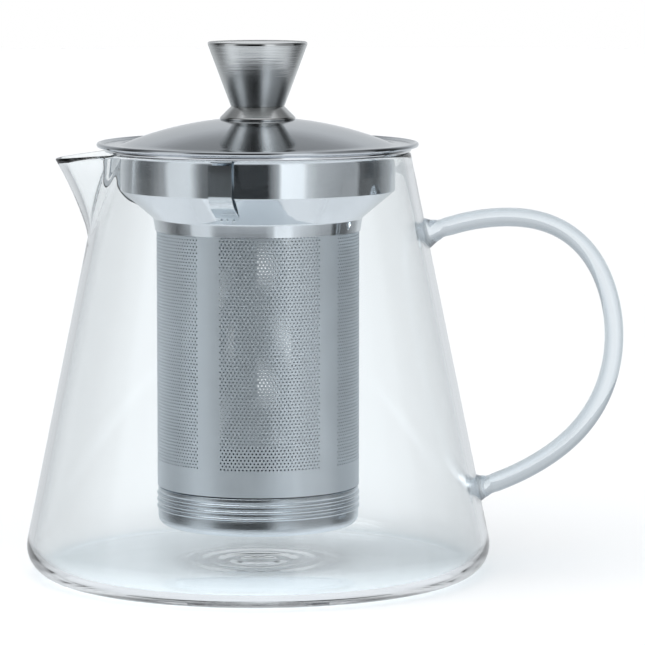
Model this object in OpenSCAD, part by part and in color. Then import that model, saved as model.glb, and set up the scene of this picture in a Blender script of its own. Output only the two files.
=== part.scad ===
// Glass teapot with a stainless infuser basket and a domed lid.
// Millimetres. Origin at the centre of the base, +Z up, handle towards +X, spout towards -X.

/* [Jug] */
// Widest radius of the jug, just above its base
jug_r = 65.3; // [60:0.1:70]
// Outer radius of the rim
rim_r = 42.7; // [42.5:0.1:44]
// Height of the rim
jug_h = 118.6; // [118:0.1:119]
// Wall thickness of the glass
glass_t = 2.1; // [1.6:0.1:2.2]
// Thickness of the floor
floor_t = 3; // [2:0.1:4]
// Outer radius of the corner between wall and base
base_corner_r = 8; // [6:0.5:10]
// How far the spout's tip stands from the axis
spout_reach = 57; // [55:0.5:58]
// Height at which the spout leaves the wall
spout_root_z = 96; // [94:0.5:98]

/* [Handle] */
// Thickness of the handle in its own plane
handle_t = 5.2; // [4.6:0.1:5.6]
// Width of the handle across its plane
handle_w = 9; // [8:0.1:11]
// Radius of the boss at the upper end
upper_boss_r = 5.2; // [5:0.1:5.6]
// Radius of the boss at the lower end
lower_boss_r = 4.3; // [4:0.1:4.8]

/* [Infuser] */
// Outer radius of the polished collar
collar_r = 38.4; // [38.2:0.1:38.5]
// Outer radius of the rolled flange
flange_r = 43; // [42.8:0.1:43.4]
// Outer radius of the perforated tube
tube_r = 28.4; // [28:0.1:28.6]
// Height of the tube's lower end
tube_z = 25; // [24.9:0.05:25.2]
// Thickness of the spun sheet
sheet_t = 0.6; // [0.5:0.05:0.6]
// Thickness of the perforated sheet
screen_t = 0.4; // [0.3:0.05:0.4]

/* [Bottom cap] */
// Outer radius of the cap's wall
cap_r = 28.2; // [28.1:0.05:28.3]
// Height of the cap's underside
cap_z = 13.8; // [13.5:0.1:14]
// Pitch of the cap's thread
thread_pitch = 1.85; // [1.8:0.05:1.9]
// Number of turns of thread on the ring
thread_turns = 2.25; // [2:0.25:2.25]

/* [Spring clips] */
// Width of a leaf spring
clip_w = 6.4; // [5:0.1:7]
// Thickness of a leaf spring
clip_t = 0.4; // [0.3:0.05:0.4]

/* [Lid] */
// Outer radius of the lid's flange
lid_r = 45; // [44.8:0.1:46]
// Height of the dome's highest point
dome_z = 128.2; // [128:0.1:129]
// Radius of the dome's curve
dome_curve_r = 100; // [96:1:104]
// Depth of the locating skirt below the flange
skirt_depth = 6.5; // [5:0.5:8]

/* [Knob] */
// Radius of the knob's top
knob_top_r = 13.9; // [13:0.1:15]
// Radius of the knob's waist
knob_waist_r = 7.5; // [7:0.1:8]
// Radius of the knob's foot
knob_foot_r = 10.6; // [10:0.1:11]
// Height of the waist
knob_waist_z = 131.4; // [131:0.1:133]
// Height of the knob's flat top
knob_top_z = 149.2; // [148:0.1:152]

/* [Hidden] */
$fn = 96;

// Jug wall: the line from the rim that touches the base corner's circle
corner_c = [jug_r - base_corner_r, base_corner_r];
rim_p = [rim_r, jug_h];
wall_a = atan2(rim_p.y - corner_c.y, rim_p.x - corner_c.x)
    - acos(base_corner_r / norm(rim_p - corner_c));
wall_n = [cos(wall_a), sin(wall_a)];
wall_d = wall_n * rim_p;
rim_bead_r = glass_t / 2;
rim_bead_z = jug_h - rim_bead_r;
inner_corner_r = 5.5;
inner_corner_z = floor_t + inner_corner_r;
inner_corner_c = [(wall_d - glass_t - inner_corner_r - wall_n.y * inner_corner_z) / wall_n.x,
    inner_corner_z];
swirl_r = 13;
swirl_h = 0.7;
function wall_r(z, inset = 0) = (wall_d - inset - wall_n.y * z) / wall_n.x;

// Spout: a narrow cone for the lip and a broad one that blends it into the rim
spout_tip_z = 116.8;
spout_slope_a = atan((spout_reach - wall_r(spout_root_z)) / (spout_tip_z - spout_root_z));
lip_half_a = 18;
lip_tilt_a = spout_slope_a - lip_half_a;
lip_apex_drop = 6;
lip_apex = [-wall_r(spout_root_z) + lip_apex_drop * tan(spout_slope_a), spout_root_z - lip_apex_drop];
flare_half_a = 31.5;
flare_apex = [-33, 85];
spout_cone_l = 40;
spout_cut_x = -36;

// Handle: centre line of five arcs, each [radius, sweep], from the upper boss to the lower one
handle_start = [47.5, 95.5];
handle_heading = 24.4;
handle_arcs = [[55, 29.5], [25.5, 58.5], [44, 35.5], [39, 44], [68, 22]];
handle_steps = 11;
handle_sides = 16;
boss_depth = 3;
boss_length = 5.5;
boss_ring = 1.1;
upper_boss_a = 1.2;
lower_boss_a = 1.8;

// Infuser heights
flange_z = jug_h + 0.3;
flange_bead_r = 0.6;
flange_bead_z = flange_z + 0.45;
collar_z = 108;
cone_foot_z = 100.2;
sleeve_z = 96.7;
sleeve_r = tube_r + 0.9;
weld_overlap = 0.8;
tube_top_z = cone_foot_z - weld_overlap;

// Thread between the ring and the cap
ring_top_z = 31;
ring_neck_r = 26.4;
ring_neck_z = 17.5;
ring_t = 0.4;
ring_crest_r = 27.25;
cap_t = 0.5;
cap_crest_r = 26.8;
cap_top_z = tube_z - 0.4;
cap_corner_r = 2.5;
cap_lip_r = 24;
cap_bead_r = 0.4;
cap_bead_top_z = 22.6;
cap_bead_count = 3;
rib_base = 0.7;
rib_crest = 0.25;
rib_root_depth = 0.2;
rib_z = 18.3;
cap_rib_turns = 2;
rib_steps = 32;
disc_r = 25.9;
disc_t = 0.4;
disc_z = cap_z + cap_t + 0.15;

// Spring clips: side outline of the leaf's middle line as [radius, height]
clip_foot = [[31.9, 101.8], [33.6, 103.2]];
clip_held = concat(clip_foot, [[37.2, 105.2], [39.7, 108], [39.95, 110.6], [40.05, 113.2], [40.05, 115.4],
    [39.85, 117.1]]);
clip_relaxed = concat(clip_foot, [[37.4, 105], [40.2, 108], [40.8, 110.4], [41.2, 112.2], [41.8, 114.2],
    [42.4, 115.8], [42, 116.8], [40.6, 117.2]]);
clip_front_a = 256.4;
clip_spout_a = 166.4;
clip_rear_a = 31.4;

// Lid
lid_t = 0.7;
lid_z = flange_bead_z + flange_bead_r + 0.15;
lid_bead_r = 0.65;
lid_bead_z = lid_z + 0.55;
dome_foot_r = 37.7;
skirt_r = collar_r - sheet_t - 0.6;
lid_hole_r = 2.2;
function dome_height(r, inset = 0) = dome_z - dome_curve_r + sqrt(pow(dome_curve_r - inset, 2) - r * r);

// Knob
knob_t = 0.8;
disc_edge_t = 0.7;
bush_r = 3.5;
bush_top_z = 140;
screw_r = 2;
screw_head_r = 3.6;
screw_head_h = 2.2;
washer_r = 5;
washer_t = 0.8;
fit_gap = 0.05;

glass_colour = [0.82, 0.88, 0.9, 0.35];
polished_colour = [0.72, 0.75, 0.78];
brushed_colour = [0.6, 0.63, 0.66];
screen_colour = [0.5, 0.54, 0.58];

module jug_outline() {
    polygon([[0, 0], [corner_c.x, 0], corner_c + base_corner_r * wall_n,
        [wall_r(rim_bead_z), rim_bead_z], [0, rim_bead_z]]);
    translate(corner_c) circle(base_corner_r);
}

module cavity_outline() {
    polygon([[0, floor_t], [inner_corner_c.x, floor_t], inner_corner_c + inner_corner_r * wall_n,
        [wall_r(rim_bead_z, glass_t), rim_bead_z], [0, rim_bead_z]]);
    intersection() {
        translate(inner_corner_c) circle(inner_corner_r);
        translate([0, floor_t]) square([jug_r, jug_h]);
    }
}

// Solids of the spout's two cones, drawn in by the wall thickness for the inside
module spout_cones(inset) {
    translate([lip_apex.x, 0, lip_apex.y])
        rotate([0, -lip_tilt_a, 0])
            translate([0, 0, inset / sin(lip_half_a)])
                cylinder(r1 = 0, r2 = spout_cone_l * tan(lip_half_a), h = spout_cone_l);
    translate([flare_apex.x, 0, flare_apex.y + inset / sin(flare_half_a)])
        cylinder(r1 = 0, r2 = spout_cone_l * tan(flare_half_a), h = spout_cone_l);
}

module above_spout_edge() {
    drop_a = atan((jug_h - spout_tip_z) / (spout_reach + spout_cut_x));
    translate([spout_cut_x, 0, jug_h])
        rotate([0, -drop_a, 0])
            translate([-60, -60, 0]) cube([90, 120, 60]);
}

module jug_body() {
    color(glass_colour) {
        difference() {
            union() {
                rotate_extrude() jug_outline();
                difference() {
                    spout_cones(0);
                    above_spout_edge();
                    translate([spout_cut_x, -60, 0]) cube([120, 120, 200]);
                }
            }
            rotate_extrude() cavity_outline();
            spout_cones(glass_t);
        }
        difference() {
            rotate_extrude() translate([wall_r(rim_bead_z) - rim_bead_r, rim_bead_z]) circle(rim_bead_r);
            spout_cones(glass_t);
            above_spout_edge();
        }
        // Shallow ring left in the floor where the glass was held
        translate([0, 0, floor_t]) cylinder(r1 = swirl_r, r2 = swirl_r - 3, h = swirl_h);
    }
}

// Boss with a pressed ring, pointing along its own +X
module boss(r) {
    rotate([0, 90, 0]) {
        translate([0, 0, -boss_depth]) cylinder(r = r, h = boss_depth + boss_ring);
        translate([0, 0, boss_ring]) cylinder(r1 = r - 0.6, r2 = handle_t / 2, h = boss_length);
    }
}

function turned(v, a) = [v.x * cos(a) - v.y * sin(a), v.x * sin(a) + v.y * cos(a)];

// Place and heading reached after going along arc i by angle a, as [x, z, heading]
function arc_place(i, a) =
    let (start = i == 0 ? concat(handle_start, [handle_heading]) : arc_place(i - 1, handle_arcs[i - 1][1]),
        r = handle_arcs[i][0],
        step = turned([r * sin(a), -r * (1 - cos(a))], start[2]))
    [start[0] + step.x, start[1] + step.y, start[2] - a];

last_arc = len(handle_arcs) - 1;
handle_line = concat([for (i = [0 : last_arc], k = [0 : handle_steps - 1])
    arc_place(i, handle_arcs[i][1] * k / handle_steps)], [arc_place(last_arc, handle_arcs[last_arc][1])]);

// Oval rod swept along the handle's centre line
module handle_rod() {
    rings = len(handle_line);
    points = [for (p = handle_line, k = [0 : handle_sides - 1])
        let (a = 360 * k / handle_sides, side = turned([0, handle_t / 2 * cos(a)], p[2]))
            [p[0] + side.x, handle_w / 2 * sin(a), p[1] + side.y]];
    walls = [for (i = [0 : rings - 2], k = [0 : handle_sides - 1], half = [0, 1])
        let (j = (k + 1) % handle_sides, b = handle_sides * i, t = b + handle_sides)
            half == 0 ? [b + k, b + j, t + j] : [b + k, t + j, t + k]];
    first_end = [for (k = [handle_sides - 1 : -1 : 0]) k];
    last_end = [for (k = [0 : handle_sides - 1]) handle_sides * (rings - 1) + k];
    polyhedron(points, concat([first_end], walls, [last_end]));
}

module boss_at(place, turn, r) {
    translate([place[0], 0, place[1]]) rotate([0, -place[2] - turn, 0]) boss(r);
}

module jug_handle() {
    color(glass_colour)
        difference() {
            union() {
                handle_rod();
                boss_at(arc_place(0, upper_boss_a), 0, upper_boss_r);
                boss_at(arc_place(last_arc, handle_arcs[last_arc][1] - lower_boss_a), 180, lower_boss_r);
            }
            rotate_extrude() jug_outline();
        }
}

module infuser_collar() {
    cone_dir = [collar_r - sleeve_r, collar_z - cone_foot_z];
    inner_lift = sheet_t * (norm(cone_dir) - cone_dir.x) / cone_dir.y;
    color(polished_colour)
        rotate_extrude() {
            polygon([[sleeve_r, sleeve_z], [sleeve_r, cone_foot_z], [collar_r, collar_z],
                [collar_r, flange_z], [flange_r - flange_bead_r, flange_z],
                [flange_r - flange_bead_r, flange_z + sheet_t], [collar_r - sheet_t, flange_z + sheet_t],
                [collar_r - sheet_t, collar_z + inner_lift], [tube_r, cone_foot_z + inner_lift],
                [tube_r, sleeve_z]]);
            translate([flange_r - flange_bead_r, flange_bead_z]) circle(flange_bead_r);
        }
}

module infuser_screen() {
    color(screen_colour)
        rotate_extrude() translate([tube_r - screen_t, tube_z]) square([screen_t, tube_top_z - tube_z]);
}

// Helical rib from radius r_root to r_crest, its middle line starting at height z on the +X side
module thread_rib(r_root, r_crest, z, turns) {
    side = sign(r_crest - r_root);
    section = [[r_root, -side * rib_base / 2], [r_crest, -side * rib_crest / 2],
        [r_crest, side * rib_crest / 2], [r_root, side * rib_base / 2]];
    steps = rib_steps * turns;
    points = [for (i = [0 : steps], p = section)
        let (a = 360 * i / rib_steps) [p.x * cos(a), p.x * sin(a), z + p.y + thread_pitch * a / 360]];
    sides = [for (i = [0 : steps - 1], k = [0 : 3], half = [0, 1])
        let (j = (k + 1) % 4, b = 4 * i, t = b + 4)
            half == 0 ? [b + k, b + j, t + j] : [b + k, t + j, t + k]];
    last = 4 * steps;
    polyhedron(points, concat([[3, 2, 1, 0]], sides, [[last, last + 1, last + 2, last + 3]]));
}

module thread_ring() {
    color(brushed_colour) {
        rotate_extrude()
            polygon([[ring_neck_r - ring_t, ring_neck_z], [ring_neck_r, ring_neck_z], [ring_neck_r, tube_z],
                [tube_r - screen_t, tube_z], [tube_r - screen_t, ring_top_z],
                [tube_r - screen_t - ring_t, ring_top_z], [tube_r - screen_t - ring_t, tube_z + ring_t],
                [ring_neck_r - ring_t, tube_z + ring_t]]);
        thread_rib(ring_neck_r - rib_root_depth, ring_crest_r, rib_z, thread_turns);
    }
}

module base_cap() {
    corner = [cap_r - cap_corner_r, cap_z + cap_corner_r];
    color(brushed_colour) {
        rotate_extrude() {
            difference() {
                union() {
                    translate([0, corner.y]) square([cap_r, cap_top_z - corner.y]);
                    translate([0, cap_z]) square([corner.x, cap_corner_r]);
                    translate(corner) circle(cap_corner_r);
                }
                translate([0, corner.y]) square([cap_r - cap_t, cap_top_z]);
                translate([0, cap_z + cap_t]) square([corner.x, cap_corner_r]);
                translate(corner) circle(cap_corner_r - cap_t);
                square([cap_lip_r, cap_top_z]);
            }
            for (i = [0 : cap_bead_count - 1])
                translate([cap_r - 0.05, cap_bead_top_z - i * thread_pitch]) circle(cap_bead_r);
        }
        thread_rib(cap_r - cap_t + rib_root_depth, cap_crest_r, rib_z + thread_pitch / 2, cap_rib_turns);
    }
}

module base_strainer_disc() {
    color(screen_colour) translate([0, 0, disc_z]) cylinder(r = disc_r, h = disc_t);
}

// Points of a path moved sideways by d along the path's own normals
function shifted(path, d) = [for (i = [0 : len(path) - 1])
    let (a = path[max(i - 1, 0)], b = path[min(i + 1, len(path) - 1)], t = (b - a) / norm(b - a))
        path[i] + d * [t.y, -t.x]];

function reversed(list) = [for (i = [len(list) - 1 : -1 : 0]) list[i]];

module spring_leaf(path, angle) {
    color(polished_colour)
        rotate([0, 0, angle])
            rotate([90, 0, 0])
                translate([0, 0, -clip_w / 2])
                    linear_extrude(clip_w)
                        polygon(concat(shifted(path, clip_t / 2), reversed(shifted(path, -clip_t / 2))));
}

module spring_clip_front() spring_leaf(clip_held, clip_front_a);

module spring_clip_spout() spring_leaf(clip_relaxed, clip_spout_a);

module spring_clip_rear() spring_leaf(clip_held, clip_rear_a);

module lid_dome() {
    edge_r = lid_r - lid_bead_r;
    color(polished_colour)
        rotate_extrude() {
            translate([dome_foot_r - lid_t, lid_z]) square([edge_r - dome_foot_r + lid_t, lid_t]);
            translate([edge_r, lid_bead_z]) circle(lid_bead_r);
            intersection() {
                difference() {
                    translate([0, dome_z - dome_curve_r]) circle(dome_curve_r);
                    translate([0, dome_z - dome_curve_r]) circle(dome_curve_r - lid_t);
                }
                translate([lid_hole_r, lid_z]) square([dome_foot_r - lid_hole_r, dome_z]);
            }
        }
}

module lid_skirt() {
    color(polished_colour)
        rotate_extrude()
            translate([skirt_r - sheet_t, lid_z - skirt_depth]) square([sheet_t, skirt_depth]);
}

module knob_foot() {
    foot_z = dome_height(knob_foot_r - knob_t);
    color(brushed_colour)
        rotate_extrude()
            polygon([[knob_foot_r - knob_t, foot_z], [knob_foot_r, foot_z], [knob_waist_r, knob_waist_z],
                [bush_r, knob_waist_z], [bush_r, knob_waist_z - knob_t],
                [knob_waist_r - knob_t, knob_waist_z - knob_t]]);
}

module knob_cone() {
    top_z = knob_top_z - disc_edge_t;
    color(brushed_colour)
        rotate_extrude()
            polygon([[bush_r, knob_waist_z], [knob_waist_r, knob_waist_z], [knob_top_r, top_z],
                [knob_top_r - knob_t, top_z], [knob_waist_r - knob_t, knob_waist_z + knob_t],
                [bush_r, knob_waist_z + knob_t]]);
}

module knob_top_disc() {
    color(polished_colour)
        translate([0, 0, knob_top_z - disc_edge_t])
            cylinder(r1 = knob_top_r, r2 = knob_top_r - 0.2, h = disc_edge_t);
}

module knob_bush() {
    color(brushed_colour)
        difference() {
            translate([0, 0, dome_z]) cylinder(r = bush_r, h = bush_top_z - dome_z);
            translate([0, 0, dome_z - 1]) cylinder(r = screw_r + fit_gap, h = bush_top_z - dome_z);
        }
}

module knob_washer() {
    top_z = dome_height(washer_r, lid_t);
    color(brushed_colour)
        translate([0, 0, top_z - washer_t])
            difference() {
                cylinder(r = washer_r, h = washer_t);
                translate([0, 0, -1]) cylinder(r = screw_r + fit_gap, h = washer_t + 2);
            }
}

module knob_screw() {
    seat_z = dome_height(washer_r, lid_t) - washer_t;
    color(brushed_colour) {
        translate([0, 0, seat_z - screw_head_h]) cylinder(r = screw_head_r, h = screw_head_h);
        translate([0, 0, seat_z]) cylinder(r = screw_r, h = bush_top_z - 3 - seat_z);
    }
}

jug_body();
jug_handle();
infuser_collar();
infuser_screen();
thread_ring();
spring_clip_front();
spring_clip_spout();
spring_clip_rear();
base_cap();
base_strainer_disc();
lid_dome();
lid_skirt();
knob_foot();
knob_cone();
knob_top_disc();
knob_bush();
knob_screw();
knob_washer();
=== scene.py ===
"""Glass teapot with a stainless infuser: visual model, materials, studio and camera."""
import math

import bmesh
import bpy
import numpy as np
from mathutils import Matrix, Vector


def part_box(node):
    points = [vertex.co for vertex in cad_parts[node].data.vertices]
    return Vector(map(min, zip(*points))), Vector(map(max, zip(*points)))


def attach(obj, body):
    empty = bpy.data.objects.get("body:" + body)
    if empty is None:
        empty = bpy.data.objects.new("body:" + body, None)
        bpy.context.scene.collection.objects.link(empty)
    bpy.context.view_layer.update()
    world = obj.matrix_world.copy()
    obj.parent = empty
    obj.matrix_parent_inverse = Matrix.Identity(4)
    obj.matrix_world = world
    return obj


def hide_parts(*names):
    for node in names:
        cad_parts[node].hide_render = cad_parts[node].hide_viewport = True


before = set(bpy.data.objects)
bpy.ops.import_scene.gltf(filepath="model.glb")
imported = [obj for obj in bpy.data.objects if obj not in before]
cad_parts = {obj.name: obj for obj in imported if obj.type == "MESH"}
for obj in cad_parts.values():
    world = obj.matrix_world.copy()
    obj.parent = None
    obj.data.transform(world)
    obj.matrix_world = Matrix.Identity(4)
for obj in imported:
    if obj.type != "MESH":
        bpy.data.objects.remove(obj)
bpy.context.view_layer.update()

MM = 0.001
TAU = 2 * math.pi
scene = bpy.context.scene


# ---------------------------------------------------------------- sizes from the frame, in millimetres

def span(node):
    """Lowest and highest corner of a CAD node in millimetres."""
    low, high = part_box(node)
    return [v / MM for v in low], [v / MM for v in high]


_, jug_high = span("jug_body")
collar_low, collar_high = span("infuser_collar")
screen_low, screen_high = span("infuser_screen")
cap_low, cap_high = span("base_cap")
disc_low, disc_high = span("base_strainer_disc")
lid_low, lid_high = span("lid_dome")
_, foot_high = span("knob_foot")
cone_low, cone_high = span("knob_cone")
_, top_high = span("knob_top_disc")

# Jug
JUG_R = jug_high[0]                  # widest, just above the base
RIM_R = 42.7
RIM_Z = jug_high[2]
SPOUT_REACH = 57.0
GLASS_T = 2.1
FLOOR_T = 3.0
CORNER_R = 8.0
INNER_CORNER_R = 5.5
FLOOR_RIPPLE = 0.24
UNDERSIDE_RISE = 0.18
UNDERSIDE_RISE_R = 24

# Spout
SPOUT_ROOT_Z = 95.0
SPOUT_DROOP = 1.8
SPOUT_DROOP_Z = 104                  # the lip starts to bend down here
SPOUT_HALF_ANGLE = 0.50

# Handle: arcs of its centre line, as in the CAD model
HANDLE_START = (47.5, 95.5)
HANDLE_HEADING = math.radians(24.4)
HANDLE_ARCS = ((55, 29.5), (25.5, 58.5), (44, 35.5), (39, 44), (68, 22))
HANDLE_T = 5.2
HANDLE_W = 9.0
BOSS_SINK = 0.6                      # how far the bosses reach into the wall

# Infuser
TUBE_R = screen_high[0]
TUBE_Z = screen_low[2]
TUBE_TOP_Z = screen_high[2]
COLLAR_R = 38.4
COLLAR_Z = 108.0
CONE_FOOT_Z = 100.2
SLEEVE_R = TUBE_R + 0.9
SLEEVE_Z = collar_low[2]
FLANGE_R = collar_high[0]
FLANGE_TOP = collar_high[2]
FLANGE_Z = RIM_Z + 0.3
SHEET_T = 0.6

# Perforated sheet: panels of round holes between plain strips
HOLE_R = 0.26
HOLE_PITCH = 1.04
ROW_PITCH = 0.90
HOLE_SIDES = 8
SCREEN_T = 0.34
PANELS = 5
PANEL_ARC = math.radians(59.4)
FRONT_PANEL_START = math.radians(-90 - 21.4)
PANEL_BOTTOM_Z = 32.2
SEAM = (math.radians(51.5), math.radians(69.5))      # plain strip at the back where the sheet's edges lap
SEAM_LAP = math.radians(64)                          # free edge of the inner lap
SEAM_WELD_PITCH = 6.6

# Cap
CAP_R = 28.2
CAP_Z = cap_low[2]
CAP_TOP_Z = cap_high[2]
CAP_CORNER_R = 2.5
CAP_BEADS = (22.6, 20.75, 18.9)

# Strainer disc in the cap
DISC_RINGS = 22
DISC_PITCH = 1.06

# Clips: angle, and side outline as in the CAD model
CLIP_W = 6.4
CLIP_T = 0.4
CLIP_FOOT = ((31.9, 101.8), (33.6, 103.2))
CLIP_HELD = CLIP_FOOT + ((37.2, 105.2), (39.7, 108), (39.95, 110.6), (40.05, 113.2), (40.05, 115.4),
                         (39.85, 117.1))
CLIP_RELAXED = CLIP_FOOT + ((37.4, 105), (40.2, 108), (40.8, 110.4), (41.2, 112.2), (41.8, 114.2),
                            (42.4, 115.8), (42, 116.8), (40.6, 117.2))
CLIPS = {"front": (256.4, CLIP_HELD), "spout": (166.4, CLIP_RELAXED), "rear": (31.4, CLIP_HELD)}

# Lid and knob
LID_R = lid_high[0]
LID_Z = lid_low[2]
DOME_Z = lid_high[2]
DOME_CURVE_R = 100.0
DOME_FOOT_R = 37.7
LID_T = 0.7
KNOB_WAIST_R = 7.5
KNOB_FOOT_R = foot_high[0]
KNOB_TOP_R = cone_high[0]
KNOB_WAIST_Z = cone_low[2]
KNOB_TOP_Z = top_high[2]


# ---------------------------------------------------------------- mesh helpers

def new_object(name, verts, faces, smooth=True):
    """A mesh object from vertices in millimetres."""
    mesh = bpy.data.meshes.new(name)
    mesh.from_pydata([tuple(c * MM for c in v) for v in verts], [], faces)
    mesh.validate()
    obj = bpy.data.objects.new(name, mesh)
    scene.collection.objects.link(obj)
    if smooth:
        for p in mesh.polygons:
            p.use_smooth = True
    return obj


def arc(centre, radius, start, end, steps):
    """Points along a circle's arc in the (radius, height) plane, angles in degrees."""
    out = []
    for i in range(steps + 1):
        a = math.radians(start + (end - start) * i / steps)
        out.append((centre[0] + radius * math.cos(a), centre[1] + radius * math.sin(a)))
    return out


def lathe(name, profile, sides=256, sharp=32, closed=True):
    """A solid of revolution about Z. Corners of the profile sharper than an angle in degrees stay crisp."""
    profile = np.array(profile, float)
    n = len(profile)
    verts = []
    for i in range(sides):
        a = TAU * i / sides
        verts += [(r * math.cos(a), r * math.sin(a), z) for r, z in profile]
    faces = []
    last = n if closed else n - 1
    for i in range(sides):
        j = (i + 1) % sides
        for k in range(last):
            m = (k + 1) % n
            faces.append((i * n + k, j * n + k, j * n + m, i * n + m))
    obj = new_object(name, verts, faces)
    recalc(obj)
    crisp(obj, sharp)
    return obj


def recalc(obj):
    """Joins doubled vertices and turns all faces outwards."""
    bm = bmesh.new()
    bm.from_mesh(obj.data)
    bmesh.ops.remove_doubles(bm, verts=bm.verts, dist=1e-7)
    bmesh.ops.recalc_face_normals(bm, faces=bm.faces)
    bm.to_mesh(obj.data)
    bm.free()


def crisp(obj, degrees):
    """Keeps edges sharper than an angle crisp in the smooth shading."""
    obj.data.set_sharp_from_angle(angle=math.radians(degrees))


def fillet(points, radii, steps=5):
    """Rounds the corners of a closed outline: radii gives one radius per point, 0 for a sharp corner."""
    out = []
    n = len(points)
    for i, (p, r) in enumerate(zip(points, radii)):
        p = np.array(p, float)
        if r <= 0:
            out.append(tuple(p))
            continue
        a = np.array(points[i - 1], float) - p
        b = np.array(points[(i + 1) % n], float) - p
        la, lb = np.linalg.norm(a), np.linalg.norm(b)
        a, b = a / la, b / lb
        half = math.acos(max(-1, min(1, float(a @ b)))) / 2
        reach = min(r / math.tan(half), 0.49 * la, 0.49 * lb)
        r = reach * math.tan(half)
        c = p + (a + b) / np.linalg.norm(a + b) * (r / math.sin(half))
        s, e = p + a * reach - c, p + b * reach - c
        a0 = math.atan2(s[1], s[0])
        turn = (math.atan2(e[1], e[0]) - a0 + math.pi) % TAU - math.pi
        out += [(c[0] + r * math.cos(a0 + turn * k / steps), c[1] + r * math.sin(a0 + turn * k / steps))
                for k in range(steps + 1)]
    return out


# ---------------------------------------------------------------- materials

# Sockets of a Mix node set to colours
MIX_A = 6
MIX_B = 7
MIX_RESULT = 2


def material(name):
    """An empty Principled material: the material, its node tree, its shader and its output."""
    mat = bpy.data.materials.new(name)
    mat.use_nodes = True
    tree = mat.node_tree
    tree.nodes.clear()
    out = tree.nodes.new("ShaderNodeOutputMaterial")
    shader = tree.nodes.new("ShaderNodeBsdfPrincipled")
    tree.links.new(shader.outputs["BSDF"], out.inputs["Surface"])
    return mat, tree, shader, out


def node(tree, kind, **values):
    """Adds a node and sets its properties, or its inputs where the name is an input's."""
    n = tree.nodes.new(kind)
    for key, value in values.items():
        if hasattr(n, key):
            setattr(n, key, value)
        else:
            n.inputs[key.replace("_", " ")].default_value = value
    return n


def ramp(tree, source, stops):
    """A colour ramp driven by a socket, from (position, colour) stops."""
    r = tree.nodes.new("ShaderNodeValToRGB")
    for i, (pos, colour) in enumerate(stops):
        e = r.color_ramp.elements[i] if i < 2 else r.color_ramp.elements.new(pos)
        e.position = pos
        e.color = (*colour, 1)
    tree.links.new(source, r.inputs["Fac"])
    return r


def multiply(tree, first, second):
    """The product of two colour sockets."""
    mix = node(tree, "ShaderNodeMix", data_type="RGBA", blend_type="MULTIPLY")
    mix.inputs["Factor"].default_value = 1.0
    tree.links.new(first, mix.inputs[MIX_A])
    tree.links.new(second, mix.inputs[MIX_B])
    return mix.outputs[MIX_RESULT]


def steel(name, base, roughness, spread, grain, grain_scale, anisotropy=0.0, face_on=1.0):
    """Stainless steel, varied a little, with a turned grain; face_on below 1 paints shade into its colour
    where it is seen square on.
    """
    smudge = 0.03
    mat, tree, shader, _ = material(name)
    shader.inputs["Metallic"].default_value = 1.0
    shader.inputs["Anisotropic"].default_value = anisotropy
    coord = tree.nodes.new("ShaderNodeTexCoord")
    cloud = node(tree, "ShaderNodeTexNoise", Scale=55.0, Detail=5.0, Roughness=0.6)
    tree.links.new(coord.outputs["Object"], cloud.inputs["Vector"])
    dark = tuple(c * (1 - smudge) for c in base)
    light = tuple(min(1, c * (1 + smudge)) for c in base)
    colour = ramp(tree, cloud.outputs["Fac"], [(0.3, dark), (0.7, light)])
    # Painted shade: the colour is darkened to face_on where the surface faces the view, back to its own
    # colour by a facing of 0.42
    facing = node(tree, "ShaderNodeLayerWeight", Blend=0.5)
    painted_face_on_shade = ramp(tree, facing.outputs["Facing"], [(0.0, (face_on, face_on, face_on)), (0.42, (1, 1, 1))])
    shaded = multiply(tree, colour.outputs["Color"], painted_face_on_shade.outputs["Color"])
    tree.links.new(shaded, shader.inputs["Base Color"])
    rough = node(tree, "ShaderNodeMapRange")
    rough.inputs["To Min"].default_value = max(0.0, roughness - spread)
    rough.inputs["To Max"].default_value = roughness + spread
    tree.links.new(cloud.outputs["Fac"], rough.inputs["Value"])
    tree.links.new(rough.outputs["Result"], shader.inputs["Roughness"])
    mapping = node(tree, "ShaderNodeMapping")
    mapping.inputs["Scale"].default_value = grain_scale
    lines = node(tree, "ShaderNodeTexNoise", Scale=1.0, Detail=3.0)
    bump = node(tree, "ShaderNodeBump", Strength=grain, Distance=0.00005)
    tree.links.new(coord.outputs["Object"], mapping.inputs["Vector"])
    tree.links.new(mapping.outputs["Vector"], lines.inputs["Vector"])
    tree.links.new(lines.outputs["Fac"], bump.inputs["Height"])
    tree.links.new(bump.outputs["Normal"], shader.inputs["Normal"])
    return mat


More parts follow.
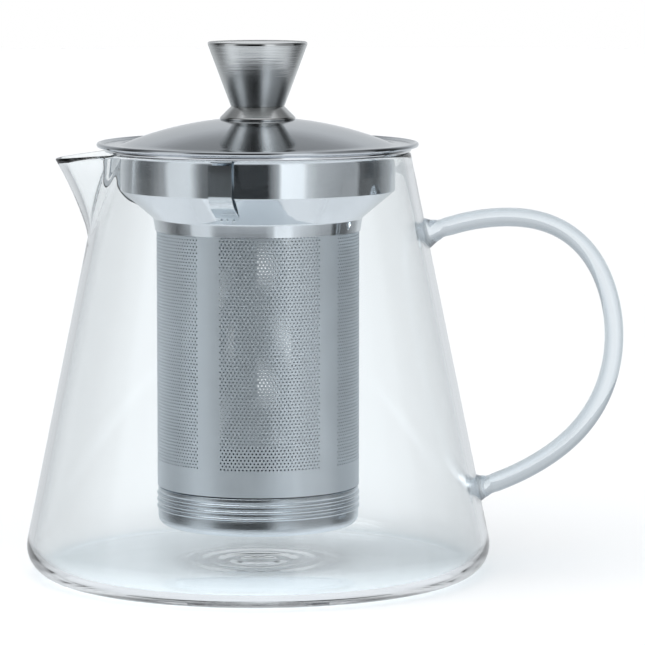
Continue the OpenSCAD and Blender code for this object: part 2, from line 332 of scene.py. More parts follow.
def clear_glass(name, tint, edge_shade_stops):
    """Borosilicate glass, uneven by a trace, with painted shade that greys it where it is seen edge on;
    lamps shine through it.
    """
    mat, tree, shader, out = material(name)
    shader.inputs["Transmission Weight"].default_value = 1.0
    shader.inputs["Roughness"].default_value = 0.0
    shader.inputs["IOR"].default_value = 1.47
    coord = tree.nodes.new("ShaderNodeTexCoord")
    mapping = node(tree, "ShaderNodeMapping")
    mapping.inputs["Scale"].default_value = (22, 22, 9)
    sway = node(tree, "ShaderNodeTexNoise", Scale=1.0, Detail=2.0)
    bump = node(tree, "ShaderNodeBump", Strength=0.12, Distance=0.0006)
    tree.links.new(coord.outputs["Object"], mapping.inputs["Vector"])
    tree.links.new(mapping.outputs["Vector"], sway.inputs["Vector"])
    tree.links.new(sway.outputs["Fac"], bump.inputs["Height"])
    tree.links.new(bump.outputs["Normal"], shader.inputs["Normal"])
    colour = ramp(tree, sway.outputs["Fac"], [(0.35, tint), (0.65, tuple(min(1, c * 1.012) for c in tint))])
    # Painted shade: edge_shade_stops grey the colour towards where the glass is seen edge on
    facing = node(tree, "ShaderNodeLayerWeight", Blend=0.5)
    edge = ramp(tree, facing.outputs["Facing"], edge_shade_stops)
    both = multiply(tree, colour.outputs["Color"], edge.outputs["Color"])
    tree.links.new(both, shader.inputs["Base Color"])
    path = tree.nodes.new("ShaderNodeLightPath")
    through = tree.nodes.new("ShaderNodeBsdfTransparent")
    through.inputs["Color"].default_value = (0.93, 0.95, 0.96, 1)
    mix = tree.nodes.new("ShaderNodeMixShader")
    tree.links.new(path.outputs["Is Shadow Ray"], mix.inputs["Fac"])
    tree.links.new(shader.outputs["BSDF"], mix.inputs[1])
    tree.links.new(through.outputs["BSDF"], mix.inputs[2])
    tree.links.new(mix.outputs["Shader"], out.inputs["Surface"])
    return mat


MAT_GLASS = clear_glass("glass_clear", (0.955, 0.975, 0.982),
                        [(0.0, (1, 1, 1)), (0.75, (1, 1, 1)), (1.0, (0.86, 0.88, 0.90))])
# The handle's tint, deeper than the jug's, and its strong edge stops are painted shade that darkens the rod,
# most where it is seen edge on
MAT_HANDLE = clear_glass("glass_handle", (0.90, 0.93, 0.945),
                         [(0.0, (0.90, 0.92, 0.94)), (0.15, (0.74, 0.78, 0.81)), (0.5, (0.50, 0.55, 0.59)),
                          (1.0, (0.34, 0.39, 0.43))])
MAT_COLLAR = steel("steel_polished", (0.80, 0.82, 0.84), 0.05, 0.02, 0.15, (90, 90, 900))
MAT_LID = steel("steel_lid", (0.61, 0.64, 0.67), 0.11, 0.03, 0.25, (700, 700, 700))
MAT_KNOB = steel("steel_knob", (0.76, 0.78, 0.78), 0.24, 0.03, 0.6, (40, 40, 4200), anisotropy=0.6)
MAT_KNOB_FOOT = steel("steel_knob_foot", (0.66, 0.67, 0.67), 0.12, 0.02, 0.3, (40, 40, 4200))
# The cap's and the screen's face_on paints shade into their colour where they are seen square on
MAT_CAP = steel("steel_cap", (0.80, 0.85, 0.89), 0.26, 0.03, 0.4, (60, 60, 3000), face_on=0.52)
MAT_SCREEN = steel("steel_screen", (0.88, 0.93, 0.97), 0.52, 0.05, 0.3, (1200, 1200, 300), face_on=0.78)
MAT_CLIP = steel("steel_clip", (0.74, 0.77, 0.79), 0.10, 0.03, 0.3, (1500, 1500, 200))


def finish_piece(obj, mat, body, slot, *nodes):
    """Gives a piece its material and body, and hides the CAD nodes it stands for; slot is not used."""
    obj.data.materials.clear()
    obj.data.materials.append(mat)
    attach(obj, body)
    if nodes:
        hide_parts(*nodes)


# ---------------------------------------------------------------- glass jug

# Outside of the jug: the wall is the line through the rim that touches the rounded base corner
corner = (JUG_R - CORNER_R, CORNER_R)
rim_vec = (RIM_R - corner[0], RIM_Z - corner[1])
WALL_A = math.atan2(rim_vec[1], rim_vec[0]) - math.acos(CORNER_R / math.hypot(*rim_vec))
WALL_D = RIM_R * math.cos(WALL_A) + RIM_Z * math.sin(WALL_A)


def wall_r(z, inset=0.0):
    """Radius of the glass wall at a height, less an inset along the wall's normal."""
    return (WALL_D - inset - math.sin(WALL_A) * z) / math.cos(WALL_A)


def spout_shape(delta, z):
    """Share of the spout's reach at an angle from the -X side and a height, 0 to 1."""
    rise = np.clip((z - SPOUT_ROOT_Z) / (RIM_Z - SPOUT_ROOT_Z), 0, 1)
    half = SPOUT_HALF_ANGLE * (0.38 + 0.62 * rise ** 0.8)
    t = np.clip(np.abs(delta) / half, 0, 1)
    return (0.5 + 0.5 * np.cos(math.pi * t)) ** 1.4 * rise ** 1.12


def jug_profile():
    """Outline of the glass from the underside's centre, up the outside, over the rim and down the inside."""
    turn = math.degrees(WALL_A)
    inner_c_z = FLOOR_T + INNER_CORNER_R
    inner_c_r = (WALL_D - GLASS_T - INNER_CORNER_R - math.sin(WALL_A) * inner_c_z) / math.cos(WALL_A)
    bead = GLASS_T / 2 + 0.08
    rim_z = RIM_Z - bead
    rim_mid = wall_r(rim_z) - bead
    under = [(r, 0.0) for r in np.linspace(2, corner[0], 30)[:-1]]
    outer_corner = arc(corner, CORNER_R, -90, turn, 12)
    outside = [(wall_r(z), z) for z in np.linspace(outer_corner[-1][1], rim_z, 44)[1:-1]]
    rim = arc((rim_mid, rim_z), bead, turn, 180 + turn, 12)
    inside = [(wall_r(z, GLASS_T), z) for z in np.linspace(rim_z, inner_c_z, 44)[1:-1]]
    inner_corner = arc((inner_c_r, inner_c_z), INNER_CORNER_R, turn, -90, 12)
    floor = [(r, FLOOR_T) for r in np.linspace(inner_c_r, 2, 44)[1:]]
    return under + outer_corner + outside + rim + inside + inner_corner + floor


def floor_ripple(r, strength):
    """Rings left where the hot glass was held."""
    rings = math.exp(-(r / 13.0) ** 2) * math.cos(r * 1.05)
    outer_ring = 0.6 * math.exp(-((r - 16) / 3.5) ** 2)
    return strength * (rings + outer_ring)


def build_jug():
    """The glass shell: its outline turned round the axis and pulled out at the spout."""
    profile = jug_profile()
    flat = np.linspace(-math.pi, math.pi, 289)[:-1]
    angles = flat - 0.42 * np.sin(flat)     # closer together at the spout
    n = len(profile)
    half = n // 2
    verts = []
    for d in angles:
        a = math.pi + d
        for k, (r, z) in enumerate(profile):
            share = float(spout_shape(d, z)) if z > SPOUT_ROOT_Z else 0.0
            reach = (SPOUT_REACH - RIM_R - 0.2) * share
            droop = SPOUT_DROOP * share * max(0.0, (z - SPOUT_DROOP_Z) / (RIM_Z - SPOUT_DROOP_Z))
            if k < half and z < 0.01 and r < UNDERSIDE_RISE_R:
                z = UNDERSIDE_RISE * math.sin(r / UNDERSIDE_RISE_R * math.pi)
            elif k > half and z < FLOOR_T + 0.01:
                z += floor_ripple(r, FLOOR_RIPPLE)
            verts.append(((r + reach) * math.cos(a), (r + reach) * math.sin(a), z - droop))
    count = len(angles)
    faces = []
    for i in range(count):
        j = (i + 1) % count
        for k in range(n - 1):
            faces.append((i * n + k, j * n + k, j * n + k + 1, i * n + k + 1))
    faces.append(tuple(i * n for i in range(count))[::-1])
    faces.append(tuple(i * n + n - 1 for i in range(count)))
    obj = new_object("jug_glass", verts, faces)
    recalc(obj)
    finish_piece(obj, MAT_GLASS, "jug", "glass", "jug_body")


# ---------------------------------------------------------------- handle

def handle_places(step=0.8):
    """Points along the centre line as (x, z, heading, distance)."""
    x, z = HANDLE_START
    heading = HANDLE_HEADING
    gone = 0.0
    out = [(x, z, heading, gone)]
    for radius, sweep in HANDLE_ARCS:
        sweep = math.radians(sweep)
        pieces = max(2, int(radius * sweep / step))
        for i in range(1, pieces + 1):
            a = sweep * i / pieces
            px = x + radius * (math.sin(heading) - math.sin(heading - a))
            pz = z - radius * (math.cos(heading) - math.cos(heading - a))
            out.append((px, pz, heading - a, gone + radius * a))
        x, z = out[-1][0], out[-1][1]
        heading -= sweep
        gone += radius * sweep
    return eased(out)


def eased(places, reach=9):
    """The same line with its changes of curvature drawn out, so the rod shows no corner where arcs meet."""
    points = np.array([place[:2] for place in places])
    count = len(points)
    out = []
    for i in range(count):
        near = min(reach, i, count - 1 - i)
        x, z = points[i - near:i + near + 1].mean(axis=0)
        before, after = points[max(i - 1, 0)], points[min(i + 1, count - 1)]
        heading = math.atan2(after[1] - before[1], after[0] - before[0])
        out.append((x, z, heading, places[i][3]))
    return out


def boss_swell(d, size):
    """How much the rod grows towards a boss at a distance from the wall, with a pressed ring and a neck."""
    flare = math.exp(-(max(d - 0.5, 0) / 1.7) ** 2)
    ring = 0.11 * math.exp(-((d - 2.9) / 0.5) ** 2)
    neck = -0.05 * math.exp(-((d - 4.6) / 0.9) ** 2)
    return 1 + size * flare + ring + neck


def build_handle():
    """The glass rod, an oval section swept along its line and turned to meet the wall squarely."""
    places = handle_places()
    total = places[-1][3]
    sides = 40
    verts = []
    for x, z, heading, s in places:
        near_top = math.exp(-(s / 3.0) ** 2)
        near_foot = math.exp(-((total - s) / 3.0) ** 2)
        tilt = heading + near_top * (WALL_A - heading) + near_foot * (WALL_A - math.pi - heading)
        swell = boss_swell(s, 0.62) + boss_swell(total - s, 0.62) - 1
        thick = HANDLE_T / 2 * swell
        wide = HANDLE_W / 2 * (1 + (swell - 1) * 0.32)
        x -= BOSS_SINK * (near_top + near_foot)
        for k in range(sides):
            a = TAU * k / sides
            c, w = math.cos(a), math.sin(a)
            u = thick * math.copysign(abs(c) ** 0.9, c)
            v = wide * math.copysign(abs(w) ** 0.9, w)
            verts.append((x - math.sin(tilt) * u, v, z + math.cos(tilt) * u))
    rings = len(places)
    faces = []
    for i in range(rings - 1):
        for k in range(sides):
            j = (k + 1) % sides
            faces.append((i * sides + k, i * sides + j, (i + 1) * sides + j, (i + 1) * sides + k))
    faces.append(tuple(range(sides))[::-1])
    faces.append(tuple((rings - 1) * sides + k for k in range(sides)))
    obj = new_object("handle_glass", verts, faces)
    recalc(obj)
    crisp(obj, 60)
    finish_piece(obj, MAT_HANDLE, "jug", "glass", "jug_handle")


# ---------------------------------------------------------------- infuser

def build_collar():
    """The spun flange, collar, cone and sleeve, in one outline."""
    lift = SHEET_T * 0.45
    top = FLANGE_Z + SHEET_T
    bead = (FLANGE_R - 0.6, FLANGE_TOP - 0.6)
    points = [(TUBE_R + 0.35, SLEEVE_Z), (SLEEVE_R, CONE_FOOT_Z), (COLLAR_R, COLLAR_Z)]
    closing = [(COLLAR_R, FLANGE_Z), (0, 0)]
    outside = fillet(points + closing, [0.2, 0.8, 0.35, 0, 0])[:-3]
    neck = arc((COLLAR_R + 0.7, FLANGE_Z - 0.7), 0.7, 180, 90, 5)
    edge = arc(bead, 0.6, -120, 110, 12)
    bore = COLLAR_R - SHEET_T
    inside = [(bore + 0.5, top), (bore + 0.15, top - 0.15), (bore, top - 0.5), (bore, COLLAR_Z + lift),
              (TUBE_R, CONE_FOOT_Z + lift), (TUBE_R, SLEEVE_Z)]
    obj = lathe("infuser_collar_spun", outside + neck + edge + inside, sharp=38)
    finish_piece(obj, MAT_COLLAR, "infuser", "polished_steel", "infuser_collar")


# Corners and mid-sides of a cell, in half widths, in step with the hole's eight points
CELL_RING = ((-1, -1), (0, -1), (1, -1), (1, 0), (1, 1), (0, 1), (-1, 1), (-1, 0))


def hole_points():
    """The hole's outline as offsets along and across the sheet, in step with CELL_RING."""
    turns = [math.radians(-135 + 45 * k) for k in range(HOLE_SIDES)]
    return [(HOLE_R * math.cos(t), HOLE_R * math.sin(t)) for t in turns]


def hole_cell(r_out, r_in, angle, z, half_a, half_z):
    """Vertices of one cell of perforated sheet: outer rim square and hole, on both faces of the sheet."""
    verts = []
    for r in (r_out, r_in):
        for u, w in CELL_RING:
            a = angle + u * half_a
            verts.append((r * math.cos(a), r * math.sin(a), z + w * half_z))
        for along, across in hole_points():
            a = angle + along / r_out
            verts.append((r * math.cos(a), r * math.sin(a), z + across))
    return verts


def cell_faces(base):
    """Faces of one cell: both sides of the sheet round the hole, and the wall of the hole."""
    out = []
    for k in range(HOLE_SIDES):
        j = (k + 1) % HOLE_SIDES
        out.append((base + k, base + j, base + 8 + j, base + 8 + k))
        out.append((base + 16 + j, base + 16 + k, base + 24 + k, base + 24 + j))
        out.append((base + 8 + k, base + 8 + j, base + 24 + j, base + 24 + k))
    return out


def panel_places(per_row, column):
    """Start angle and columns of holes of each panel, in order round the tube; the seam splits one."""
    out = []
    for p in range(PANELS):
        start = FRONT_PANEL_START + p * TAU / PANELS
        if start < SEAM[0] < start + PANEL_ARC:
            before = int((SEAM[0] - start) / column)
            after = int((SEAM[1] - start) / column) + 1
            out += [(start, before), (start + after * column, per_row - after)]
        else:
            out.append((start, per_row))
    return out


def end_filler(first, r_out, r_in, middle, half, z, half_z):
    """Vertices and faces of the plain half cell that squares off the end of a shifted row."""
    verts = []
    for r in (r_out, r_in):
        for u, w in ((-1, -1), (1, -1), (1, 1), (-1, 1)):
            a = middle + u * half
            verts.append((r * math.cos(a), r * math.sin(a), z + w * half_z))
    return verts, [tuple(range(first, first + 4)), tuple(range(first + 7, first + 3, -1))]


def panel_mesh(start, columns, rows, half_a, r_out, r_in):
    """Vertices and faces of one panel, every second row of holes shifted by half a column."""
    half_z = ROW_PITCH / 2
    column = 2 * half_a
    verts, faces = [], []
    for row in range(rows):
        z = PANEL_BOTTOM_Z + (row + 0.5) * ROW_PITCH
        shifted = row % 2
        for i in range(columns - shifted):
            angle = start + (i + 0.5 + shifted * 0.5) * column
            faces += cell_faces(len(verts))
            verts += hole_cell(r_out, r_in, angle, z, half_a, half_z)
        if shifted:
            for place in (0.25, columns - 0.25):
                middle = start + place * column
                more, sides = end_filler(len(verts), r_out, r_in, middle, half_a / 2, z, half_z)
                verts += more
                faces += sides
    return verts, faces


def build_screen():
    """The rolled sheet: panels with real holes, and the plain sheet round them."""
    r_out, r_in = TUBE_R, TUBE_R - SCREEN_T
    rows = int((SLEEVE_Z + 1.5 - PANEL_BOTTOM_Z) / ROW_PITCH)
    per_row = int(PANEL_ARC * r_out / HOLE_PITCH)
    half_a = PANEL_ARC / per_row / 2
    panels = panel_places(per_row, 2 * half_a)
    for p, (start, columns) in enumerate(panels):
        obj = new_object("screen_panel_%d" % (p + 1), *panel_mesh(start, columns, rows, half_a, r_out, r_in))
        crisp(obj, 50)
        finish_piece(obj, MAT_SCREEN, "infuser", "screen_steel")
    edges = [(start, start + columns * 2 * half_a) for start, columns in panels]
    plain = plain_sheet(r_out, r_in, PANEL_BOTTOM_Z + rows * ROW_PITCH, edges)
    finish_piece(plain, MAT_SCREEN, "infuser", "screen_steel", "infuser_screen")


def plain_sheet(r_out, r_in, panel_top, edges):
    """The unperforated borders: bands at both ends and strips between panels."""
    verts, faces = [], []

    def patch(a0, a1, z0, z1, steps):
        first = len(verts)
        for r in (r_out, r_in):
            for i in range(steps + 1):
                a = a0 + (a1 - a0) * i / steps
                verts.append((r * math.cos(a), r * math.sin(a), z0))
                verts.append((r * math.cos(a), r * math.sin(a), z1))
        m = 2 * (steps + 1)
        for i in range(steps):
            b = first + 2 * i
            faces.append((b, b + 2, b + 3, b + 1))
            faces.append((b + m + 1, b + m + 3, b + m + 2, b + m))
            faces.append((b + 1, b + 3, b + m + 3, b + m + 1))
            faces.append((b + m, b + m + 2, b + 2, b))
        for b in (first, first + 2 * steps):
            faces.append((b, b + 1, b + m + 1, b + m))

    patch(0, TAU, TUBE_Z, PANEL_BOTTOM_Z, 256)
    patch(0, TAU, panel_top, TUBE_TOP_Z, 256)
    following = edges[1:] + [(edges[0][0] + TAU, 0)]
    for (_, end), (start, _) in zip(edges, following):
        patch(end, start, PANEL_BOTTOM_Z, panel_top, 14)
    obj = new_object("screen_plain_sheet", verts, faces)
    recalc(obj)
    crisp(obj, 50)
    return obj


def build_seam():
    """Inner lap of the sheet's edge, pressed down by a row of spot welds beside its free edge."""
    r_lap = TUBE_R - SCREEN_T - 0.30
    r_under = TUBE_R - SCREEN_T - 0.02
    across, up = 24, 240
    z0, z1 = TUBE_Z + 6.4, TUBE_TOP_Z - 1
    weld_angle = SEAM_LAP - math.radians(2.6)
    verts, faces = [], []
    for i in range(up + 1):
        z = z0 + (z1 - z0) * i / up
        off = (z - z0) % SEAM_WELD_PITCH - SEAM_WELD_PITCH / 2
        for k in range(across + 1):
            a = SEAM[0] + (SEAM_LAP - SEAM[0]) * k / across
            aside = (a - weld_angle) * TUBE_R
            dent = 0.26 * math.exp(-(off ** 2 + aside ** 2) / 1.1)
            r = r_under if k in (0, across) else r_lap + dent
            verts.append((r * math.cos(a), r * math.sin(a), z))
    for i in range(up):
        for k in range(across):
            b = i * (across + 1) + k
            faces.append((b, b + across + 1, b + across + 2, b + 1))
    obj = new_object("screen_seam", verts, faces)
    crisp(obj, 40)
    finish_piece(obj, MAT_CLIP, "infuser", "screen_steel")


def build_cap():
    """The screw cap with its rolled beads, open over the strainer disc."""
    corner_c = (CAP_R - CAP_CORNER_R, CAP_Z + CAP_CORNER_R)
    outside = arc(corner_c, CAP_CORNER_R, -90, 0, 10)
    bulge = np.linspace(-1.35, 1.35, 9)
    for z in reversed(CAP_BEADS):
        outside += [(CAP_R, z - 0.72), (CAP_R - 0.14, z - 0.56), (CAP_R - 0.12, z - 0.46)]
        outside += [(CAP_R + 0.36 * math.cos(t), z + 0.40 * math.sin(t)) for t in bulge]
        outside += [(CAP_R - 0.12, z + 0.46), (CAP_R - 0.14, z + 0.56), (CAP_R, z + 0.72)]
    top = [(CAP_R, CAP_TOP_Z - 0.15), (CAP_R - 0.15, CAP_TOP_Z), (CAP_R - 0.4, CAP_TOP_Z),
           (CAP_R - 0.5, CAP_TOP_Z - 0.1)]
    inside = arc(corner_c, CAP_CORNER_R - 0.5, 0, -90, 8)
    lip = [(24.1, CAP_Z + 0.5), (24.0, CAP_Z + 0.4), (24.0, CAP_Z + 0.1), (24.1, CAP_Z)]
    obj = lathe("base_cap_rolled", outside + top + inside + lip, sharp=55)
    finish_piece(obj, MAT_CAP, "cap", "cap_steel", "base_cap")


def build_disc():
    """Strainer disc: rings of holes in a plain edge."""
    z_low, z_high = disc_low[2], disc_high[2]
    hub_r = 1.0
    verts, faces = [], []
    for ring in range(DISC_RINGS):
        r_mid = hub_r + (ring + 0.5) * DISC_PITCH
        count = max(6, int(TAU * r_mid / DISC_PITCH))
        half = math.pi / count
        for i in range(count):
            mid = TAU * (i + 0.5 * (ring % 2)) / count
            faces += cell_faces(len(verts))
            for z in (z_high, z_low):
                for u, w in CELL_RING:
                    a = mid + u * half
                    r = r_mid + w * DISC_PITCH / 2
                    verts.append((r * math.cos(a), r * math.sin(a), z))
                for along, across in hole_points():
                    a = mid + along / r_mid
                    r = r_mid + across
                    verts.append((r * math.cos(a), r * math.sin(a), z))
    obj = new_object("strainer_disc_perforated", verts, faces, smooth=False)
    inner, outer = hub_r + DISC_RINGS * DISC_PITCH, disc_high[0]
    edge = [(inner, z_low), (outer, z_low), (outer, z_high), (inner, z_high)]
    middle = [(0.01, z_low), (hub_r, z_low), (hub_r, z_high), (0.01, z_high)]
    rim = lathe("strainer_disc_rim", edge, sides=192)
    hub = lathe("strainer_disc_hub", middle, sides=32)
    finish_piece(obj, MAT_SCREEN, "strainer", "screen_steel", "base_strainer_disc")
    for part in (rim, hub):
        finish_piece(part, MAT_SCREEN, "strainer", "screen_steel")


def smooth_path(points, parts=6):
    """Catmull-Rom points through a path, for a leaf bent without kinks."""
    pts = [np.array(p, float) for p in points]
    pts = [2 * pts[0] - pts[1]] + pts + [2 * pts[-1] - pts[-2]]
    out = []
    for i in range(1, len(pts) - 2):
        a, b, c, d = pts[i - 1:i + 3]
        for k in range(parts):
            t = k / parts
            bend = (2 * a - 5 * b + 4 * c - d) * t * t + (3 * b - a - 3 * c + d) * t ** 3
            out.append(0.5 * (2 * b + (c - a) * t + bend))
    out.append(pts[-2])
    return out


def build_clip(name, angle, path):
    """A leaf spring bent along its path, at an angle round the collar, with its welds."""
    line = smooth_path(path)
    across = 8
    verts, faces = [], []
    a = math.radians(angle)
    radial = np.array((math.cos(a), math.sin(a), 0))
    tangent = np.array((-math.sin(a), math.cos(a), 0))
    n = len(line)
    for side in (1, -1):
        for i, p in enumerate(line):
            t = line[min(i + 1, n - 1)] - line[max(i - 1, 0)]
            t = t / np.linalg.norm(t)
            q = p + side * CLIP_T / 2 * np.array((t[1], -t[0]))
            end = min(i, n - 1 - i)
            width = CLIP_W / 2 - (0.35 if end == 0 else 0.1 if end == 1 else 0)
            for k in range(across + 1):
                u = -1 + 2 * k / across
                verts.append(tuple(radial * q[0] + tangent * u * width + np.array((0, 0, q[1]))))
    row = across + 1
    m = n * row
    for i in range(n - 1):
        for k in range(across):
            b = i * row + k
            faces.append((b, b + 1, b + row + 1, b + row))
            faces.append((m + b + row, m + b + row + 1, m + b + 1, m + b))
        for b, s in ((i * row, 1), (i * row + across, -1)):
            faces.append((b, b + row, m + b + row, m + b)[::s])
    for b in (0, (n - 1) * row):
        for k in range(across):
            faces.append((b + k, b + k + 1, m + b + k + 1, m + b + k))
    obj = new_object("clip_%s_leaf" % name, verts, faces)
    recalc(obj)
    crisp(obj, 50)
    finish_piece(obj, MAT_CLIP, "clip_" + name, "spring_steel", "spring_clip_" + name)
    build_welds(name, radial, tangent)


def build_welds(name, radial, tangent):
    """Three spot-weld dimples where the leaf meets the cone."""
    verts, faces = [], []
    out = np.array((0.685, -0.729))
    for k in (-1, 0, 1):
        centre = radial * (32.25 + out[0] * 0.1) + tangent * k * 1.7 + np.array((0, 0, 101.6 + out[1] * 0.1))
        normal = radial * out[0] + np.array((0, 0, out[1]))
        side = np.cross(normal, tangent)
        base = len(verts)
        for ring in range(4):
            rr, h = 0.42 * math.cos(ring * math.pi / 8), 0.16 * math.sin(ring * math.pi / 8)
            for i in range(12):
                t = TAU * i / 12
                verts.append(tuple(centre + (tangent * math.cos(t) + side * math.sin(t)) * rr + normal * h))
        for ring in range(3):
            for i in range(12):
                j = (i + 1) % 12
                b = base + ring * 12
                faces.append((b + i, b + j, b + 12 + j, b + 12 + i))
        faces.append(tuple(base + 36 + i for i in range(12)))
    obj = new_object("clip_%s_welds" % name, verts, faces)
    recalc(obj)
    finish_piece(obj, MAT_CLIP, "clip_" + name, "spring_steel")


# ---------------------------------------------------------------- lid and knob

def dome_z(r, inset=0.0):
    """Height of the dome's sheet at a radius, on its outer face or an inset below it."""
    return DOME_Z - DOME_CURVE_R + math.sqrt((DOME_CURVE_R - inset) ** 2 - r * r)


def build_lid():
    """The spun dome with its flange and rolled edge."""
    edge = (LID_R - 0.65, LID_Z + 0.65)
    top = [(r, dome_z(r)) for r in np.linspace(2.2, DOME_FOOT_R - 0.6, 40)]
    foot = [(DOME_FOOT_R + 0.1, LID_Z + LID_T + 0.16), (DOME_FOOT_R + 0.9, LID_Z + LID_T)]
    flange = [(r, LID_Z + LID_T) for r in np.linspace(DOME_FOOT_R + 1.6, edge[0] - 0.9, 8)]
    roll = arc(edge, 0.65, 115, -115, 14)
    under = [(edge[0] - 0.5, LID_Z), (DOME_FOOT_R - 0.6, LID_Z)]
    hollow = [(r, dome_z(r, LID_T)) for r in np.linspace(DOME_FOOT_R - 1.6, 2.2, 30)]
    obj = lathe("lid_spun", top + foot + flange + roll + under + hollow, sharp=45)
    finish_piece(obj, MAT_LID, "lid", "lid_steel", "lid_dome")


def build_knob():
    """The waisted knob: foot, cone and the disc that closes it."""
    base_z = dome_z(KNOB_FOOT_R - 0.2)
    waist = KNOB_WAIST_Z - 0.12
    foot = fillet([(3.5, KNOB_WAIST_Z - 0.8), (3.5, waist), (KNOB_WAIST_R - 0.05, waist),
                   (KNOB_FOOT_R - 0.25, base_z + 0.75), (KNOB_FOOT_R, base_z + 0.35),
                   (KNOB_FOOT_R - 0.1, base_z), (KNOB_FOOT_R - 0.9, base_z),
                   (KNOB_WAIST_R - 0.9, KNOB_WAIST_Z - 0.8)], [0, 0, 0.15, 0.6, 0.2, 0.1, 0, 0])
    edge_z = KNOB_TOP_Z - 0.7
    cone = fillet([(3.5, KNOB_WAIST_Z), (KNOB_WAIST_R, KNOB_WAIST_Z), (KNOB_TOP_R, edge_z),
                   (KNOB_TOP_R - 0.8, edge_z), (KNOB_WAIST_R - 0.7, KNOB_WAIST_Z + 0.8),
                   (3.5, KNOB_WAIST_Z + 0.8)], [0, 0.18, 0.05, 0, 0, 0])
    crown_r = 13.2
    crown = [(r, KNOB_TOP_Z - 0.16 * (r / crown_r) ** 2) for r in np.linspace(0.01, crown_r, 24)]
    rolled = arc((KNOB_TOP_R - 0.42, KNOB_TOP_Z - 0.36), 0.42, 75, 0, 7)
    disc = crown + rolled + [(KNOB_TOP_R, edge_z + 0.02), (0.01, edge_z + 0.02)]
    for name, profile, mat, node_name in (("knob_foot_spun", foot, MAT_KNOB_FOOT, "knob_foot"),
                                          ("knob_cone_spun", cone, MAT_KNOB, "knob_cone"),
                                          ("knob_top_spun", disc, MAT_KNOB_FOOT, "knob_top_disc")):
        obj = lathe(name, profile, sides=192, sharp=50)
        finish_piece(obj, mat, "lid", "knob_steel", node_name)


build_jug()
build_handle()
build_collar()
build_screen()
build_seam()
build_cap()
build_disc()
for clip_name, (clip_angle, clip_path) in CLIPS.items():
    build_clip(clip_name, clip_angle, clip_path)
build_lid()
build_knob()


# ---------------------------------------------------------------- materials of the CAD nodes that stay

CARRIED = {"thread_ring": MAT_CAP, "lid_skirt": MAT_COLLAR, "knob_bush": MAT_CAP, "knob_screw": MAT_CAP,
           "knob_washer": MAT_CAP}
for name, mat in CARRIED.items():
    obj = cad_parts[name]
    if not obj.material_slots:
        obj.data.materials.append(mat)
    for s in obj.material_slots:
        s.link = "OBJECT"
        s.material = mat


# ---------------------------------------------------------------- studio

# Brightness of the room around the object by direction: degrees from the camera's side, plus towards +X
ROOM_AROUND = ((-180, 0.80), (-150, 0.66), (-126, 0.40), (-112, 0.12), (-102, 0.06), (-97, 0.13),
               (-83, 0.34), (-78, 0.82), (-57, 0.90), (-51, 0.42), (-47, 0.20), (-40, 0.12), (-24, 0.06),
               (-20, 0.01), (9, 0.01), (12, 0.20), (18, 0.46), (21, 1.25), (39, 1.15), (43, 0.72),
               (53, 0.50), (78, 0.34), (91, 0.36), (95, 0.03), (102, 0.04), (118, 0.07), (126, 0.24),
               (140, 0.44), (150, 0.75), (180, 0.80))
# And by elevation in degrees; further down than FLOOR_SHOWS the floor shows
FLOOR_SHOWS = ((-90, 0.95), (-32, 0.95), (-19, 0.0), (90, 0.0))
ROOM_UP = ((-90, 1.0), (0, 1.0), (8, 0.84), (24, 0.82), (34, 0.50), (52, 0.36), (64, 0.95), (90, 1.15))
# The boxes and gaps stand round the walls only: higher up they give way to an even ceiling
ROOM_EVENS_OUT = ((-90, 0.0), (36, 0.0), (50, 1.0), (90, 1.0))
CEILING = 0.75
FILL_STRENGTH = 2.6


def build_floor():
    """A wide pale floor, round so that it ends far from every side."""
    profile = [(0.01, -0.05)] + [(r, -0.05) for r in (400, 1200, 2600, 4000)]
    obj = lathe("studio_floor", profile, sides=96, closed=False)
    mat, tree, shader, surface = material("studio_white")
    shader.inputs["Roughness"].default_value = 0.9
    cloud = node(tree, "ShaderNodeTexNoise", Scale=3.0, Detail=2.0)
    colour = ramp(tree, cloud.outputs["Fac"], [(0.3, (0.90, 0.905, 0.91)), (0.7, (0.92, 0.925, 0.93))])
    tree.links.new(colour.outputs["Color"], shader.inputs["Base Color"])
    # What the steel mirrors below the horizon comes from the room, whose dark gaps reach down there too
    path = tree.nodes.new("ShaderNodeLightPath")
    mirrored = node(tree, "ShaderNodeMath", operation="GREATER_THAN")
    mirrored.inputs[1].default_value = 0.5
    clear = tree.nodes.new("ShaderNodeBsdfTransparent")
    mix = tree.nodes.new("ShaderNodeMixShader")
    tree.links.new(path.outputs["Glossy Depth"], mirrored.inputs[0])
    tree.links.new(mirrored.outputs[0], mix.inputs["Fac"])
    tree.links.new(shader.outputs["BSDF"], mix.inputs[1])
    tree.links.new(clear.outputs["BSDF"], mix.inputs[2])
    tree.links.new(mix.outputs["Shader"], surface.inputs["Surface"])
    obj.data.materials.append(mat)


def degrees_ramp(tree, source, low, high, stops, tint):
    """A colour ramp over an angle in radians, with stops in degrees."""
    share = node(tree, "ShaderNodeMapRange")
    share.inputs["From Min"].default_value = math.radians(low)
    share.inputs["From Max"].default_value = math.radians(high)
    tree.links.new(source, share.inputs["Value"])
    colours = [((angle - low) / (high - low), tuple(value * t for t in tint)) for angle, value in stops]
    return ramp(tree, share.outputs["Result"], colours)


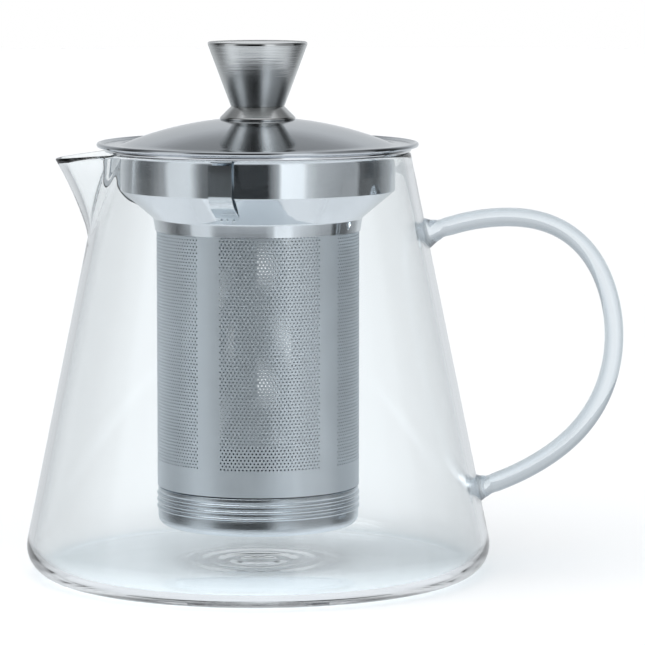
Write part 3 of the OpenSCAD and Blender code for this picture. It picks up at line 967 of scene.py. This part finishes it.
def build_world():
    """A white studio as the camera sees it, and a room of soft boxes and dark gaps for what mirrors it."""
    world = bpy.data.worlds.new("studio_world")
    world.use_nodes = True
    tree = world.node_tree
    tree.nodes.clear()
    coord = tree.nodes.new("ShaderNodeTexCoord")
    parts = tree.nodes.new("ShaderNodeSeparateXYZ")
    tree.links.new(coord.outputs["Generated"], parts.inputs["Vector"])
    back = node(tree, "ShaderNodeMath", operation="MULTIPLY")
    back.inputs[1].default_value = -1
    tree.links.new(parts.outputs["Y"], back.inputs[0])
    around = node(tree, "ShaderNodeMath", operation="ARCTAN2")
    tree.links.new(parts.outputs["X"], around.inputs[0])
    tree.links.new(back.outputs[0], around.inputs[1])
    up = node(tree, "ShaderNodeMath", operation="ARCSINE")
    tree.links.new(parts.outputs["Z"], up.inputs[0])
    side_colour = degrees_ramp(tree, around.outputs[0], -180, 180, ROOM_AROUND, (0.94, 0.97, 1.0))
    up_colour = degrees_ramp(tree, up.outputs[0], -90, 90, ROOM_UP, (1, 1, 1))
    evening = degrees_ramp(tree, up.outputs[0], -90, 90, ROOM_EVENS_OUT, (1, 1, 1))
    walls = node(tree, "ShaderNodeMix", data_type="RGBA", blend_type="MIX")
    tree.links.new(evening.outputs["Color"], walls.inputs["Factor"])
    tree.links.new(side_colour.outputs["Color"], walls.inputs[MIX_A])
    walls.inputs[MIX_B].default_value = (CEILING * 0.96, CEILING * 0.98, CEILING, 1)
    both = multiply(tree, walls.outputs[MIX_RESULT], up_colour.outputs["Color"])
    below = degrees_ramp(tree, up.outputs[0], -90, 90, FLOOR_SHOWS, (1, 1, 1))
    lit = node(tree, "ShaderNodeMix", data_type="RGBA", blend_type="MIX")
    tree.links.new(below.outputs["Color"], lit.inputs["Factor"])
    tree.links.new(both, lit.inputs[MIX_A])
    lit.inputs[MIX_B].default_value = (0.86, 0.89, 0.93, 1)
    room = tree.nodes.new("ShaderNodeBackground")
    tree.links.new(lit.outputs[MIX_RESULT], room.inputs["Color"])
    white = tree.nodes.new("ShaderNodeBackground")
    white.inputs["Color"].default_value = (1, 1, 1, 1)
    path = tree.nodes.new("ShaderNodeLightPath")
    mix = tree.nodes.new("ShaderNodeMixShader")
    out = tree.nodes.new("ShaderNodeOutputWorld")
    tree.links.new(path.outputs["Is Camera Ray"], mix.inputs["Fac"])
    tree.links.new(room.outputs["Background"], mix.inputs[1])
    tree.links.new(white.outputs["Background"], mix.inputs[2])
    tree.links.new(mix.outputs["Shader"], out.inputs["Surface"])
    scene.world = world


def build_fill():
    """Soft light from above that whitens the floor without showing as a spot in the steel."""
    light = bpy.data.lights.new("fill", "SUN")
    light.energy = FILL_STRENGTH
    light.angle = math.radians(70)
    obj = bpy.data.objects.new("fill", light)
    scene.collection.objects.link(obj)
    obj.rotation_euler = (math.radians(18), math.radians(-12), 0)
    obj.visible_glossy = False


build_floor()
build_world()
build_fill()


# ---------------------------------------------------------------- camera

camera = bpy.data.cameras.new("camera")
camera.sensor_width = 36.0
camera.lens = 207.5
camera.dof.use_dof = False
camera.clip_end = 20
camera_obj = bpy.data.objects.new("camera", camera)
scene.collection.objects.link(camera_obj)
camera_obj.location = (18.1 * MM, -1038.3 * MM, 185.7 * MM)
camera_obj.rotation_euler = (math.pi / 2 - 0.1105, 0, 0)
scene.camera = camera_obj
scene.view_settings.view_transform = "Standard"
scene.cycles.max_bounces = 40
scene.cycles.transmission_bounces = 32
scene.cycles.glossy_bounces = 32
